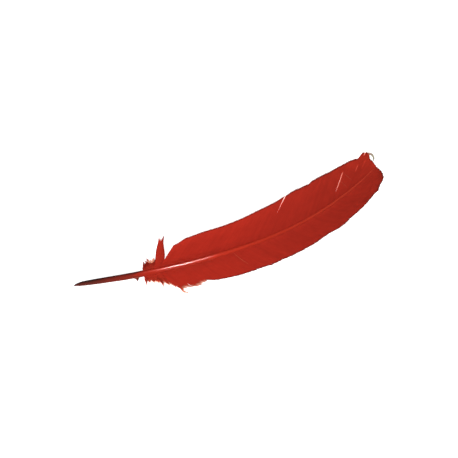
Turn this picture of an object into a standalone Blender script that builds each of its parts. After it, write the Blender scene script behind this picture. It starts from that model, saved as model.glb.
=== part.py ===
"""A dyed wing feather that lies on a flat surface, outer side up, at its real size.

The quill points to -X and the vane's tip to +X, and the broad inner vane is on the +Y side.
The origin is the middle of the feather's bounding box, on the surface that it rests on.
Lengths below are in millimetres. A place on the feather is given as (along, aside): the distance
along the shaft from the quill's point, and the distance from the shaft's middle line,
which is positive on the inner vane's side.
"""

import math

import bmesh
import bpy
import numpy as np
from mathutils import Vector

MM = 0.001
CLEARANCE = 0.3  # between neighbouring solids
SHARP_DEG = 50.0  # faces that meet at more than this are shaded apart
SAME_PLACE = 1e-7  # metres

# Shaft: the bare quill and the rachis that it runs on into
SHAFT_LENGTH = 295.0
QUILL_HEADING_DEG = -11.4  # the quill's direction against the feather's chord
TURN_DEG = 36.0  # how far the shaft turns sideways by its tip
TURN_POWER = 2.25  # above 1, the turn gathers towards the tip
BOW_HEIGHT = 8.0  # how far the middle of the shaft stands above its ends
BOW_POWER = 1.5
QUILL_REST = 1.4  # height of the shaft's middle line at the quill's point
TIP_REST = 1.0  # and at the rachis's tip
LINE_STEP = 0.25  # between samples of the shaft's middle line
LINE_OVERRUN = 20.0  # the line runs straight on this far past the tip
SHAFT_SIDES = 16
ROUND = 2.0  # a section's superellipse power: 2 is an ellipse, more is squarer
SQUARED = 2.8
RACHIS_START = 68.0
SQUARING_LENGTH = 12.0  # the section turns from round to square over this, up to the rachis
GROOVE = 0.14  # the groove under the rachis, as a share of its depth
GROOVE_SPREAD = 0.35  # and how far it spreads, as a share of half its width
POINT_RINGS = (7.0, 11.5)  # extra rings on the quill's cut point
RING_RANGE = (14.0, 290.0)
RING_SPACING = 9.0

# How far the shaft wavers from its even curve, as (along, aside)
SHAFT_WAVER = (
    (0.0, 0.2),
    (2.8, 0.6),
    (8.0, 0.75),
    (45.0, 0.1),
    (60.0, 0.0),
    (80.0, 0.2),
    (105.0, 0.4),
    (130.0, 1.0),
    (150.0, 1.3),
    (205.0, 1.5),
    (225.0, 1.8),
    (255.0, 2.4),
    (295.0, 2.5),
)

# The shaft's (along, width, depth)
SHAFT_SIZES = (
    (0.0, 0.6, 0.6),
    (2.8, 2.1, 1.8),
    (5.2, 3.1, 2.8),
    (9.0, 3.8, 3.6),
    (20.0, 4.5, 4.4),
    (45.0, 5.0, 5.0),
    (65.0, 5.0, 5.1),
    (100.0, 4.4, 4.7),
    (130.0, 4.0, 4.4),
    (165.0, 3.6, 4.0),
    (210.0, 2.6, 3.0),
    (260.0, 1.7, 2.0),
    (292.0, 0.7, 0.8),
    (295.0, 0.4, 0.4),
)

# Vanes: thin webs of barbs, rooted on the shaft's sides a little above its middle
WEB_THICKNESS = 0.6
ROOT_LEVEL = 0.2  # height of the roots above the shaft's middle line, as a share of its depth
DISHING = 0.14  # how far the web rises beside the shaft before it droops, as a share of its depth
DISHING_REACH = 3.0
DROOP_POWER = 1.7
BARB_STEP = 0.5  # between points along a barb
BARB_LONGEST = 70.0
LEAST_LEAN_DEG = 1.0  # a barb bends no closer than this to the shaft's direction
LOCKS = 44  # groups of barbs in each vane that end in a blunt point of their own
LOCK_NOTCH = 0.5  # how far the web is set back between two of those points
FAN_START = 180.0  # from here on the barbs lean more and more towards the tip
FAN_POWER = 2.2
FAN_EASE = 0.6

# Where each vane's barbs are rooted, their angle to the shaft, and how it falls along a barb
INNER_ROOTS = (79.5, 294.6)
INNER_BARB_DEG = 45.0
INNER_BEND_DEG_PER_MM = 0.26
INNER_WIDTH = 28.0
OUTER_ROOTS = (80.0, 294.6)
OUTER_BARB_DEG = 56.0
OUTER_BEND_DEG_PER_MM = 0.6
OUTER_WIDTH = 21.0

# The vanes' free edges, as (along, aside)
INNER_EDGE = (
    (88.0, 16.5),
    (97.6, 19.4),
    (107.6, 22.7),
    (124.0, 24.5),
    (142.0, 24.7),
    (160.0, 25.6),
    (180.0, 27.4),
    (200.0, 28.4),
    (212.0, 29.7),
    (223.0, 29.8),
    (234.5, 28.2),
    (238.0, 29.0),
    (250.0, 28.5),
    (260.0, 27.1),
    (273.0, 25.1),
    (284.2, 22.2),
    (291.9, 18.6),
    (298.7, 19.7),
    (302.7, 15.2),
    (299.6, 10.8),
    (298.8, 6.0),
    (298.1, 2.0),
)
OUTER_EDGE = (
    (88.0, -20.0),
    (100.0, -19.8),
    (107.2, -21.2),
    (113.0, -18.9),
    (118.0, -18.3),
    (130.0, -20.4),
    (145.0, -21.7),
    (170.0, -21.8),
    (200.0, -21.5),
    (215.0, -20.7),
    (230.0, -18.9),
    (240.0, -19.3),
    (260.0, -17.2),
    (280.8, -14.0),
    (285.2, -14.4),
    (287.4, -12.6),
    (293.6, -10.8),
    (297.0, -8.8),
    (298.4, -4.5),
    (298.1, 2.5),
)

# Heights of the vanes' edges above the surface, as (along, height).
# Below the surface means pressed flat against it.
INNER_EDGE_HEIGHTS = (
    (64.0, 4.0),
    (100.0, 6.2),
    (180.0, 7.4),
    (230.0, 5.4),
    (270.0, 0.6),
    (288.0, -4.5),
)
OUTER_EDGE_HEIGHTS = (
    (64.0, 0.0),
    (90.0, 0.8),
    (120.0, 2.6),
    (180.0, 4.6),
    (240.0, 2.6),
    (270.0, -0.8),
    (288.0, -5.0),
)

# Splits between the inner vane's barbs: (root, first row open, last row open, widest gap)
ROW_SHARES = (0.0, 0.08, 0.2, 0.35, 0.5, 0.66, 0.83, 1.0)
EDGE_ROW = len(ROW_SHARES) - 1
SPLITS = (
    (179.7, 4, EDGE_ROW, 1.1),
    (247.8, 4, EDGE_ROW - 2, 0.7),
)

# The loose lock at the base of the inner vane: its two sides, and the notch between its points
LOCK_LEFT_SIDE = (
    (73.3, 2.8),
    (76.0, 7.5),
    (77.6, 11.1),
    (79.1, 15.6),
    (80.8, 20.0),
    (83.4, 24.3),
    (84.6, 26.6),
)
LOCK_NOTCH_LINE = (
    (76.3, 2.8),
    (80.6, 7.5),
    (82.2, 11.1),
    (83.2, 15.6),
    (84.2, 20.0),
    (85.3, 24.0),
    (85.8, 25.0),
)
LOCK_RIGHT_SIDE = (
    (79.0, 2.8),
    (84.1, 7.5),
    (86.0, 11.1),
    (86.9, 15.6),
    (87.4, 20.0),
    (88.3, 25.0),
    (89.3, 27.7),
)
LOCK_TIP_HEIGHT = 9.5
LOCK_LIFT_POWER = 2.0

# Down at the base: where its strands are rooted, and their tips with the bays between them
INNER_DOWN_ROOTS = (64.0, 72.8)
INNER_DOWN_TIPS = (
    (64.0, 5.2),
    (65.2, 10.4),
    (66.2, 7.4),
    (67.8, 10.0),
    (68.4, 8.8),
    (69.2, 12.0),
    (71.0, 10.0),
    (75.0, 11.1),
    (76.0, 9.2),
)
INNER_DOWN_TIP_HEIGHT = 3.4
OUTER_DOWN_ROOTS = (64.0, 79.4)
OUTER_DOWN_TIPS = (
    (63.2, -5.6),
    (64.3, -10.6),
    (65.2, -6.9),
    (67.4, -8.9),
    (68.9, -7.8),
    (71.2, -9.7),
    (72.8, -9.0),
    (75.2, -10.9),
    (77.2, -10.6),
    (78.6, -14.8),
    (80.2, -12.2),
    (83.6, -14.6),
    (85.6, -14.0),
    (88.9, -17.4),
    (89.2, -15.6),
)
# The last strand of the outer down, longer and curling
CURLING_STRAND = (
    (85.3, -10.8),
    (91.9, -18.0),
    (93.6, -21.4),
    (95.6, -24.3),
    (99.1, -25.6),
)
OUTER_DOWN_TIP_HEIGHT = 0.2
DOWN_BULGE = 0.07  # how far a strand bows towards the feather's tip, as a share of its length
STRAND_DROP_POWER = 1.5
STRAND_ROWS = 8
BOW_POINTS = 9  # on the bowed part of a strand

# The scrap of dried sheath that hangs from the quill, on the outer vane's side
SCRAP_ROOTS = (53.8, 58.9)
SCRAP_TIPS = (
    (54.4, -3.2),
    (56.0, -3.7),
    (57.0, -5.9),
    (58.2, -4.9),
    (58.9, -3.3),
)
SCRAP_TIP_HEIGHT = 2.2
SCRAP_BULGE = 0.0

# Colours as linear red, green and blue, then roughness
MATERIALS = {
    "shaft": ((0.42, 0.030, 0.015), 0.35),
    "inner_vane": ((0.45, 0.026, 0.014), 0.7),
    "outer_vane": ((0.40, 0.025, 0.013), 0.7),
    "loose_lock": ((0.47, 0.035, 0.016), 0.75),
    "down": ((0.48, 0.040, 0.020), 0.85),
    "sheath": ((0.10, 0.015, 0.012), 0.6),
}


def clear_scene():
    for thing in list(bpy.data.objects):
        bpy.data.objects.remove(thing)


def shaft_line():
    """Samples of the shaft's middle line seen from above: along, x, y and heading in radians."""
    along = np.arange(0.0, SHAFT_LENGTH + LINE_OVERRUN + LINE_STEP / 2, LINE_STEP)
    turned = np.minimum(along / SHAFT_LENGTH, 1.0) ** TURN_POWER
    heading = np.radians(QUILL_HEADING_DEG + TURN_DEG * turned)
    middle = (heading[1:] + heading[:-1]) / 2
    x = np.concatenate(([0.0], np.cumsum(np.cos(middle)) * LINE_STEP))
    y = np.concatenate(([0.0], np.cumsum(np.sin(middle)) * LINE_STEP))
    return along, x, y, heading


LINE = shaft_line()


def place(along, aside, height):
    """The point of the feather's own frame for a place on the feather, in metres."""
    samples, xs, ys, headings = LINE
    x = np.interp(along, samples, xs)
    y = np.interp(along, samples, ys)
    heading = np.interp(along, samples, headings)
    return Vector((x - aside * math.sin(heading), y + aside * math.cos(heading), height)) * MM


def shaft_size(along):
    """Width and depth of the shaft's section."""
    at, widths, depths = zip(*SHAFT_SIZES)
    return np.interp(along, at, widths), np.interp(along, at, depths)


def shaft_aside(along):
    """Where the shaft's middle really lies beside its even curve."""
    return np.interp(along, *zip(*SHAFT_WAVER))


def shaft_height(along):
    """Height of the shaft's middle line above the surface."""
    share = min(max(along / SHAFT_LENGTH, 0.0), 1.0)
    rest = QUILL_REST + (TIP_REST - QUILL_REST) * share
    return rest + BOW_HEIGHT * math.sin(math.pi * share) ** BOW_POWER


def root_place(along, side):
    """(aside, height) where the web meets the shaft, one clearance from its side."""
    width, depth = shaft_size(along)
    aside = shaft_aside(along) + side * (width / 2 + CLEARANCE)
    return aside, shaft_height(along) + ROOT_LEVEL * depth


def web_height(along, aside, side):
    """Height of a vane's middle layer: dished beside the shaft, then drooping to the edge."""
    width = INNER_WIDTH if side > 0 else OUTER_WIDTH
    edge = INNER_EDGE_HEIGHTS if side > 0 else OUTER_EDGE_HEIGHTS
    root_aside, root_height = root_place(along, side)
    out = max(side * (aside - root_aside), 0.0)
    share = min(out / (width - side * root_aside), 1.0) ** DROOP_POWER
    dishing = DISHING * shaft_size(along)[1]
    dished = root_height + dishing * (1 - math.exp(-out / DISHING_REACH))
    edge_height = np.interp(along, *zip(*edge))
    return max(dished + (edge_height - dished) * share, WEB_THICKNESS / 2)


def superellipse(angle, power):
    """A point of a unit superellipse."""
    c, s = math.cos(angle), math.sin(angle)
    return math.copysign(abs(c) ** (2 / power), c), math.copysign(abs(s) ** (2 / power), s)


def shaft_ring(along):
    """One section of the shaft, flat where it touches the surface."""
    width, depth = shaft_size(along)
    squareness = min(max((along - RACHIS_START) / SQUARING_LENGTH + 1, 0.0), 1.0)
    power = ROUND + (SQUARED - ROUND) * squareness
    ring = []
    for k in range(SHAFT_SIDES):
        across, up = superellipse(2 * math.pi * k / SHAFT_SIDES, power)
        if up < 0:
            up += 2 * GROOVE * squareness * math.exp(-((across / GROOVE_SPREAD) ** 2))
        aside = shaft_aside(along) + across * width / 2
        height = shaft_height(along) + up * depth / 2
        ring.append(place(along, aside, max(height, 0.0)))
    return ring


def new_object(name, mesh_data, material):
    mesh = bpy.data.meshes.new(name)
    bmesh.ops.recalc_face_normals(mesh_data, faces=mesh_data.faces)
    mesh_data.to_mesh(mesh)
    mesh_data.free()
    mesh.materials.append(material)
    mesh.shade_smooth()
    mesh.set_sharp_from_angle(angle=math.radians(SHARP_DEG))
    made = bpy.data.objects.new(name, mesh)
    bpy.context.scene.collection.objects.link(made)
    return made


def make_shaft(material):
    """Rings along the shaft, joined by faces and capped at both ends."""
    spaced = np.arange(*RING_RANGE, RING_SPACING).tolist()
    stations = sorted({size[0] for size in SHAFT_SIZES} | set(POINT_RINGS) | set(spaced))
    body = bmesh.new()
    rings = [[body.verts.new(point) for point in shaft_ring(along)] for along in stations]
    for here, there in zip(rings, rings[1:]):
        for k in range(SHAFT_SIDES):
            after = (k + 1) % SHAFT_SIDES
            body.faces.new((here[k], here[after], there[after], there[k]))
    body.faces.new(rings[0])
    body.faces.new(rings[-1])
    return new_object("shaft", body, material)


def make_web(name, columns, material):
    """A sheet through columns of points, thickened to a closed solid.

    Each column is a pair of point lists: the same list twice, or the two lips of a split."""
    sheet = bmesh.new()
    made = []
    for left, right in columns:
        left_verts = [sheet.verts.new(point) for point in left]
        right_verts = [
            vert if (point - other).length < SAME_PLACE else sheet.verts.new(other)
            for vert, point, other in zip(left_verts, left, right)
        ]
        made.append((left_verts, right_verts))
    for (_, here), (there, _) in zip(made, made[1:]):
        for row in range(len(here) - 1):
            sheet.faces.new((here[row], there[row], there[row + 1], here[row + 1]))
    web = new_object(name, sheet, material)
    thicken = web.modifiers.new("thickness", "SOLIDIFY")
    thicken.thickness = WEB_THICKNESS * MM
    thicken.offset = 0.0
    return web


def barb_path(root, side, angle_deg, bend_deg_per_mm):
    """(along, aside) points of a barb that runs on past the edge."""
    fan = max((root - FAN_START) / (SHAFT_LENGTH - FAN_START), 0.0)
    lean = angle_deg * (1 - fan**FAN_POWER) ** FAN_EASE
    distances = np.arange(0.0, BARB_LONGEST, BARB_STEP)
    angles = np.radians(np.maximum(lean - bend_deg_per_mm * distances, LEAST_LEAN_DEG))
    start = root_place(root, side)[0]
    along = root + np.concatenate(([0.0], np.cumsum(np.cos(angles)) * BARB_STEP))
    aside = start + side * np.concatenate(([0.0], np.cumsum(np.sin(angles)) * BARB_STEP))
    return np.column_stack((along, aside))


def reach(path, edge):
    """How many steps of a path lie before it crosses the edge, with the part of a step."""
    edge = np.array(edge)
    starts, spans = edge[:-1], np.diff(edge, axis=0)
    for i in range(len(path) - 1):
        step = path[i + 1] - path[i]
        gap = starts - path[i]
        cross = step[0] * spans[:, 1] - step[1] * spans[:, 0]
        cross = np.where(cross == 0, np.inf, cross)
        on_step = (gap[:, 0] * spans[:, 1] - gap[:, 1] * spans[:, 0]) / cross
        on_edge = (gap[:, 0] * step[1] - gap[:, 1] * step[0]) / cross
        met = (on_step >= 0) & (on_step < 1) & (on_edge >= 0) & (on_edge <= 1)
        if met.any():
            return i + on_step[met].min()
    return float(len(path) - 1)


def points_on(path, steps):
    """The (along, aside) places that lie so many steps down a path."""
    count = np.arange(len(path))
    return [(np.interp(s, count, path[:, 0]), np.interp(s, count, path[:, 1])) for s in steps]


def make_vane(name, side, roots, angle_deg, bend_deg_per_mm, edge, splits, material):
    """Columns run from the shaft to the free edge along the barbs, two for each lock."""
    first, last = roots
    spacing = (last - first) / (2 * LOCKS)
    columns = []
    for i in range(2 * LOCKS + 1):
        root = first + i * spacing
        path = barb_path(root, side, angle_deg, bend_deg_per_mm)
        length = reach(path, edge)
        if i % 2 == 0 and 0 < i < 2 * LOCKS:
            length -= LOCK_NOTCH / BARB_STEP
        spots = points_on(path, [share * length for share in ROW_SHARES])
        gaps = [0.0] * len(spots)
        for split_root, first_open, last_open, widest in splits:
            if abs(root - split_root) <= spacing / 2:
                for row in range(first_open, last_open + 1):
                    gaps[row] = split_gap(row, first_open, last_open, widest)
        columns.append(
            tuple(
                [
                    place(a + lip * gap / 2, b, web_height(a, b, side))
                    for (a, b), gap in zip(spots, gaps)
                ]
                for lip in (-1, 1)
            )
        )
    return make_web(name, columns, material)


def split_gap(row, first_open, last_open, widest):
    """A split that reaches the edge widens towards it, and one that doesn't is widest midway."""
    if last_open == EDGE_ROW:
        return widest * (row - first_open + 1) / (last_open - first_open + 1)
    return widest * math.sin(math.pi * (row - first_open + 1) / (last_open - first_open + 2))


def lock_column(line):
    """Points of one line of the loose lock, which lifts off the vane's level towards its tip."""
    points = []
    for row, (along, aside) in enumerate(line):
        share = (row / (len(line) - 1)) ** LOCK_LIFT_POWER
        level = web_height(along, aside, 1)
        points.append(place(along, aside, level + (LOCK_TIP_HEIGHT - level) * share))
    return points


def make_loose_lock(material):
    """Five columns from the lock's left side, over the notch, to its right side."""
    sides = [np.array(line) for line in (LOCK_LEFT_SIDE, LOCK_NOTCH_LINE, LOCK_RIGHT_SIDE)]
    lines = [sides[0], (sides[0] + sides[1]) / 2, sides[1], (sides[1] + sides[2]) / 2, sides[2]]
    columns = [lock_column(line) for line in lines]
    return make_web("loose_lock", [(column, column) for column in columns], material)


def spaced_evenly(line, count):
    """So many points along a line of places, at even distances."""
    line = np.array(line)
    lengths = np.concatenate(([0.0], np.cumsum(np.linalg.norm(np.diff(line, axis=0), axis=1))))
    wanted = np.linspace(0.0, lengths[-1], count)
    return np.column_stack([np.interp(wanted, lengths, line[:, i]) for i in range(2)])


def strand_column(root, side, spots, tip_height, bulge):
    """A strand that bows from the shaft to its first spot, and ends at its last."""
    start = np.array((root, root_place(root, side)[0]))
    first = np.array(spots[0])
    span = first - start
    knee = (start + first) / 2 + 2 * bulge * np.array((abs(span[1]), side * span[0]))
    bow = np.linspace(0.0, 1.0, BOW_POINTS)
    curve = [(1 - t) ** 2 * start + 2 * t * (1 - t) * knee + t**2 * first for t in bow]
    root_height = root_place(root, side)[1]
    points = []
    for row, (along, aside) in enumerate(spaced_evenly(curve + list(spots[1:]), STRAND_ROWS)):
        share = (row / (STRAND_ROWS - 1)) ** STRAND_DROP_POWER
        height = max(root_height + (tip_height - root_height) * share, WEB_THICKNESS / 2)
        points.append(place(along, aside, height))
    return points


def make_fringe(name, side, roots, strands, tip_height, bulge, material):
    """A web of strands, each given by the spots that it passes.

    Its free edge goes from tip to bay to tip."""
    columns = []
    for root, spots in zip(np.linspace(*roots, len(strands)), strands):
        columns.append(strand_column(root, side, spots, tip_height, bulge))
    return make_web(name, [(column, column) for column in columns], material)


def make_material(name):
    colour, roughness = MATERIALS[name]
    material = bpy.data.materials.new(name)
    material.use_nodes = True
    shader = material.node_tree.nodes["Principled BSDF"]
    shader.inputs["Base Color"].default_value = (*colour, 1.0)
    shader.inputs["Roughness"].default_value = roughness
    shader.inputs["Metallic"].default_value = 0.0
    material.diffuse_color = (*colour, 1.0)
    return material


def set_on_origin(pieces):
    """Carries the pieces on an empty that brings the middle of their box's foot to the origin."""
    carrier = bpy.data.objects.new("feather", None)
    bpy.context.scene.collection.objects.link(carrier)
    bpy.context.view_layer.update()
    drawn = bpy.context.evaluated_depsgraph_get()
    corners = []
    for piece in pieces:
        corners += [Vector(corner) for corner in piece.evaluated_get(drawn).bound_box]
        piece.parent = carrier
    low = Vector(map(min, zip(*corners)))
    high = Vector(map(max, zip(*corners)))
    carrier.location = (-(low.x + high.x) / 2, -(low.y + high.y) / 2, -low.z)
    bpy.context.view_layer.update()


def build():
    clear_scene()
    finishes = {name: make_material(name) for name in MATERIALS}
    pieces = [
        make_shaft(finishes["shaft"]),
        make_vane(
            "inner_vane",
            1,
            INNER_ROOTS,
            INNER_BARB_DEG,
            INNER_BEND_DEG_PER_MM,
            INNER_EDGE,
            SPLITS,
            finishes["inner_vane"],
        ),
        make_vane(
            "outer_vane",
            -1,
            OUTER_ROOTS,
            OUTER_BARB_DEG,
            OUTER_BEND_DEG_PER_MM,
            OUTER_EDGE,
            (),
            finishes["outer_vane"],
        ),
        make_loose_lock(finishes["loose_lock"]),
        make_fringe(
            "inner_down",
            1,
            INNER_DOWN_ROOTS,
            [(tip,) for tip in INNER_DOWN_TIPS],
            INNER_DOWN_TIP_HEIGHT,
            DOWN_BULGE,
            finishes["down"],
        ),
        make_fringe(
            "outer_down",
            -1,
            OUTER_DOWN_ROOTS,
            [(tip,) for tip in OUTER_DOWN_TIPS] + [CURLING_STRAND],
            OUTER_DOWN_TIP_HEIGHT,
            DOWN_BULGE,
            finishes["down"],
        ),
        make_fringe(
            "sheath_scrap",
            -1,
            SCRAP_ROOTS,
            [(tip,) for tip in SCRAP_TIPS],
            SCRAP_TIP_HEIGHT,
            SCRAP_BULGE,
            finishes["sheath"],
        ),
    ]
    set_on_origin(pieces)


build()
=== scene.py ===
import math

import bpy
import numpy as np
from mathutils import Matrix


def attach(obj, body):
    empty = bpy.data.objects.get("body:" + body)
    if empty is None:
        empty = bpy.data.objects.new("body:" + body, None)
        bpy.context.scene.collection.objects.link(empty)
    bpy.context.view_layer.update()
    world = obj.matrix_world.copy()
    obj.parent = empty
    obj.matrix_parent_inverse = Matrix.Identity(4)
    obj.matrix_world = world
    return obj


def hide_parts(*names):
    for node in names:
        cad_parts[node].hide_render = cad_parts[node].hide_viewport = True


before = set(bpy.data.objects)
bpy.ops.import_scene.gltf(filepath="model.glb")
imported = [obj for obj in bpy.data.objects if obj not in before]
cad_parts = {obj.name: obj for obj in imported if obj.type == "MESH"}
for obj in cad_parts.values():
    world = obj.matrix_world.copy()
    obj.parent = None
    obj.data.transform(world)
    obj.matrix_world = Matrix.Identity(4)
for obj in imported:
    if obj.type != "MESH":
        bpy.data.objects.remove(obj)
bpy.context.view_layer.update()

# Shaft
# The bare quill and the rachis that it runs on into: one grown tube of horn, filled with foam beyond
# the quill. It bows up over the surface, turns towards the broad vane and tapers to a hair, and its
# lower end is cut to a slanted point. Everything else springs from it.
#
# Lengths are in millimetres. A place on the feather is given as (along, aside): the distance along
# the shaft from the quill's point, and the distance from its middle line, which is positive on the
# inner vane's side.
MM = 0.001
QUILL_POINT = (-147.610, 14.658)  # in the part's frame
SHAFT_LENGTH = 295.0
QUILL_HEADING_DEG = -11.4
SIDEWAYS_TURN_DEG = 36.0
TURN_POWER = 2.25
LINE_STEP = 0.25
LINE_BEYOND = 20.0  # the even curve runs on past the tip by this
BOW_HEIGHT = 8.0
BOW_POWER = 1.5
QUILL_REST = 1.4  # height of the middle line at the quill's point
TIP_REST = 1.0

line_along = np.arange(0.0, SHAFT_LENGTH + LINE_BEYOND, LINE_STEP)
line_heading = np.radians(
    QUILL_HEADING_DEG + SIDEWAYS_TURN_DEG * np.minimum(line_along / SHAFT_LENGTH, 1.0) ** TURN_POWER
)
line_middle = (line_heading[1:] + line_heading[:-1]) / 2
line_x = QUILL_POINT[0] + np.concatenate(([0.0], np.cumsum(np.cos(line_middle)) * LINE_STEP))
line_y = QUILL_POINT[1] + np.concatenate(([0.0], np.cumsum(np.sin(line_middle)) * LINE_STEP))


def on_feather(along, aside, height):
    """Points of the part's frame, in metres, for places on the feather and their heights."""
    along, aside, height = np.broadcast_arrays(along, aside, height)
    heading = np.interp(along, line_along, line_heading)
    x = np.interp(along, line_along, line_x) - aside * np.sin(heading)
    y = np.interp(along, line_along, line_y) + aside * np.cos(heading)
    return np.stack((x, y, height), axis=-1) * MM


SHAFT_WAVER = (  # how far the shaft wavers from its even curve: along, aside
    (0.0, 0.2), (2.8, 0.6), (8.0, 0.75), (45.0, 0.1), (60.0, 0.0), (80.0, 0.2), (105.0, 0.4),
    (130.0, 1.0), (150.0, 1.3), (205.0, 1.5), (225.0, 1.8), (255.0, 2.4), (295.0, 2.5),
)
SHAFT_SIZES = np.array((  # along, width, depth
    (0.0, 0.6, 0.6), (2.8, 2.1, 1.8), (5.2, 3.1, 2.8), (9.0, 3.8, 3.6), (20.0, 4.5, 4.4),
    (45.0, 5.0, 5.0), (65.0, 5.0, 5.1), (100.0, 4.4, 4.7), (130.0, 4.0, 4.4), (165.0, 3.6, 4.0),
    (210.0, 2.6, 3.0), (260.0, 1.7, 2.0), (292.0, 0.7, 0.8), (295.0, 0.4, 0.4),
))


def shaft_aside(along):
    """Where the shaft's middle lies beside its even curve."""
    return np.interp(along, *zip(*SHAFT_WAVER))


def shaft_width(along):
    return np.interp(along, SHAFT_SIZES[:, 0], SHAFT_SIZES[:, 1])


def shaft_depth(along):
    return np.interp(along, SHAFT_SIZES[:, 0], SHAFT_SIZES[:, 2])


def shaft_height(along):
    """Height of the shaft's middle line above the surface."""
    share = np.clip(np.asarray(along) / SHAFT_LENGTH, 0.0, 1.0)
    rest = QUILL_REST + (TIP_REST - QUILL_REST) * share
    return rest + BOW_HEIGHT * np.sin(math.pi * share) ** BOW_POWER


def bell(distance, spread):
    """1 at no distance, falling to nothing."""
    return np.exp(-((distance / spread) ** 2))


def unevenness(places, wavelength, seed, before=50.0, over=400):
    """A smooth random line from -1 to 1, for growth that is never quite regular."""
    count = int(over / wavelength) + 3
    knots = np.random.default_rng(seed).uniform(-1.0, 1.0, count)
    at = np.clip((np.asarray(places, float) + before) / wavelength, 0, count - 2)
    low = np.floor(at).astype(int)
    ease = (1 - np.cos(math.pi * (at - low))) / 2
    return knots[low] * (1 - ease) + knots[low + 1] * ease


def skin_rings(name, bundles, finish, margin=0.005, cap_size=(0.004, 0.3), sharp_deg=60):
    """One mesh of many closed strands. A bundle is (rings, readings): rings has the shape strands,
    rings, corners, 3, and readings are numbers at those corners, which the finish reads. margin and
    cap_size place the strands' end faces in the OFBake map."""
    points, faces, maps, kept = [], [], [], {}
    first = 0
    for band, (rings, readings) in enumerate(bundles):
        strands, count, corners = rings.shape[:3]
        number = first + np.arange(strands * count * corners).reshape(strands, count, corners)
        beside = np.roll(rings, -1, 2)
        facing = np.cross(beside[:, 1:] - rings[:, :-1], rings[:, 1:] - beside[:, :-1])
        outward = (rings + beside) / 2 - rings.mean(2, keepdims=True)
        inward = (facing * outward[:, :-1]).sum((1, 2, 3)) < 0
        number[inward] = number[inward][:, :, ::-1]
        after = np.roll(number, -1, 2)
        walls = np.stack((number[:, :-1], after[:, :-1], after[:, 1:], number[:, 1:]), -1)
        row = np.arange(count - 1)[None, :, None, None] + np.array((0, 0, 1, 1))
        lane = np.arange(strands)[:, None, None, None]
        lane = lane + (np.arange(corners)[None, None, :, None] + np.array((0, 1, 1, 0))) / corners
        u, v = np.broadcast_arrays(row / (count - 1), (band + lane / strands) / len(bundles))
        faces += walls.reshape(-1, 4).tolist()
        maps.append(np.stack((u, v), -1).reshape(-1, 2))
        turn = np.arange(corners) * 2 * math.pi / corners
        middle = (np.arange(strands)[:, None] + 0.5 + cap_size[1] * np.sin(turn)) / strands
        middle = (band + middle) / len(bundles)
        for end, cap in ((margin, number[:, 0, ::-1]), (1 - margin, number[:, -1])):
            faces += cap.tolist()
            u, v = np.broadcast_arrays(end + cap_size[0] * np.cos(turn), middle)
            maps.append(np.stack((u, v), -1).reshape(-1, 2))
        points.append(rings.reshape(-1, 3))
        for key, values in readings.items():
            values = np.broadcast_to(values, rings.shape[:3] + np.shape(values)[3:])
            kept.setdefault(key, []).append(values.reshape(number.size, -1))
        first += number.size
    mesh = bpy.data.meshes.new(name)
    mesh.from_pydata(np.concatenate(points).tolist(), [], faces)
    for key, parts in kept.items():
        values = np.concatenate(parts)
        kind, field = ("FLOAT_VECTOR", "vector") if values.shape[1] == 3 else ("FLOAT", "value")
        layer = mesh.attributes.new(key, kind, "POINT")
        layer.data.foreach_set(field, values.ravel().astype(np.float32))
    mesh.uv_layers.new(name="OFBake").data.foreach_set("uv", np.concatenate(maps).ravel())
    mesh.materials.append(finish)
    mesh.shade_smooth()
    mesh.set_sharp_from_angle(angle=math.radians(sharp_deg))
    piece = bpy.data.objects.new(name, mesh)
    bpy.context.scene.collection.objects.link(piece)
    return piece


def new_finish(name, roughness, shine):
    """A finish with its shader, and the tree that its steps go in."""
    finish = bpy.data.materials.new(name)
    finish.use_nodes = True
    shader = finish.node_tree.nodes["Principled BSDF"]
    shader.inputs["Roughness"].default_value = roughness
    shader.inputs["Specular IOR Level"].default_value = shine
    return finish, finish.node_tree, shader


def reading(tree, key, kind="Fac"):
    """What the mesh keeps under that key: Fac for a number, Vector for three."""
    node = tree.nodes.new("ShaderNodeAttribute")
    node.attribute_name = key
    return node.outputs[kind]


def worked(tree, kind, first, second=0.0, third=0.0):
    """One step of arithmetic on numbers, each a socket or a plain number."""
    node = tree.nodes.new("ShaderNodeMath")
    node.operation = kind
    for socket, value in zip(node.inputs, (first, second, third)):
        if isinstance(value, (int, float)):
            socket.default_value = value
        else:
            tree.links.new(value, socket)
    return node.outputs[0]


def product(tree, first, *others):
    """Numbers multiplied by each other."""
    for other in others:
        first = worked(tree, "MULTIPLY", first, other)
    return first


def eased(tree, value, low, high, out_low=0.0, out_high=1.0):
    """A number that goes smoothly from out_low to out_high while value goes from low to high."""
    node = tree.nodes.new("ShaderNodeMapRange")
    node.interpolation_type = "SMOOTHSTEP"
    limits = {"From Min": low, "From Max": high, "To Min": out_low, "To Max": out_high}
    for key, number in limits.items():
        node.inputs[key].default_value = number
    tree.links.new(value, node.inputs["Value"])
    return node.outputs["Result"]


def humped(tree, value, rise, fall, top=1.0):
    """A number that eases up to top over rise, and back down to nothing over fall."""
    return product(tree, eased(tree, value, *rise), eased(tree, value, *fall, top, 0.0))


def dye_steps(tree, value, steps):
    """A run of colours: steps are (place from 0 to 1, linear red, green, blue)."""
    node = tree.nodes.new("ShaderNodeValToRGB")
    ramp = node.color_ramp
    while len(ramp.elements) < len(steps):
        ramp.elements.new(1.0)
    for element, (at, *colour) in zip(ramp.elements, steps):
        element.position = at
        element.color = (*colour, 1.0)
    tree.links.new(value, node.inputs["Fac"])
    return node.outputs["Color"]


def blended(tree, share, first, second, kind="MIX"):
    """One colour over another, each a socket or a plain colour."""
    node = tree.nodes.new("ShaderNodeMix")
    node.data_type, node.blend_type = "RGBA", kind
    for at, value in ((0, share), (6, first), (7, second)):  # this node's sockets for colours
        socket = node.inputs[at]
        if isinstance(value, (int, float)):
            socket.default_value = value
        elif isinstance(value, tuple):
            socket.default_value = (*value, 1.0)
        else:
            tree.links.new(value, socket)
    return node.outputs[2]


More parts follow.
